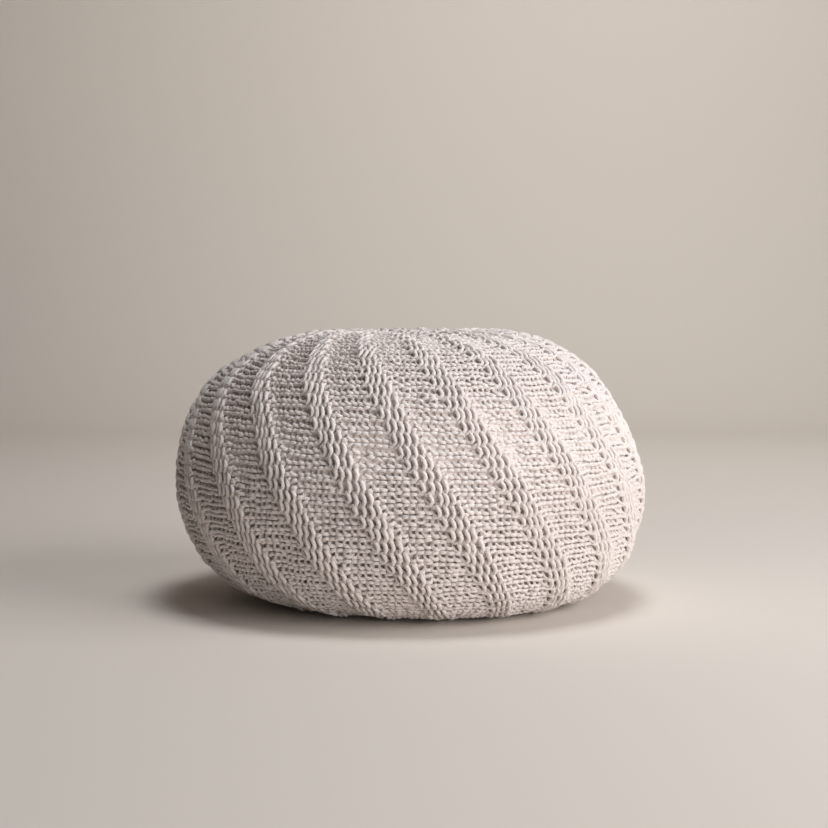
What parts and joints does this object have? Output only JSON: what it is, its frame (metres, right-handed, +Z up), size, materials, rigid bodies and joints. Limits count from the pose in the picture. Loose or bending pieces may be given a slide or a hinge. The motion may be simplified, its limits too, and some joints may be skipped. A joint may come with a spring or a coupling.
{
  "type": "pouf",
  "caption": "Round, low, filled floor seat in a chunky knitted cotton cover with slanting ribs and a flat foot.",
  "frame": {"origin": "centre of the footprint box on the floor that the pouf stands on", "axes": "+Z up through the drawn-in centre of the top, -Y towards the front that the picture shows, +X to the viewer's right"},
  "size_m": [0.5008, 0.5008, 0.2895],
  "materials": {
    "cream_cotton_knit": "matt, thick smooth cotton yarn, knitted"
  },
  "bodies": {
    "root": {"knitted_pouf": "cream_cotton_knit"}
  },
  "joints": []
}
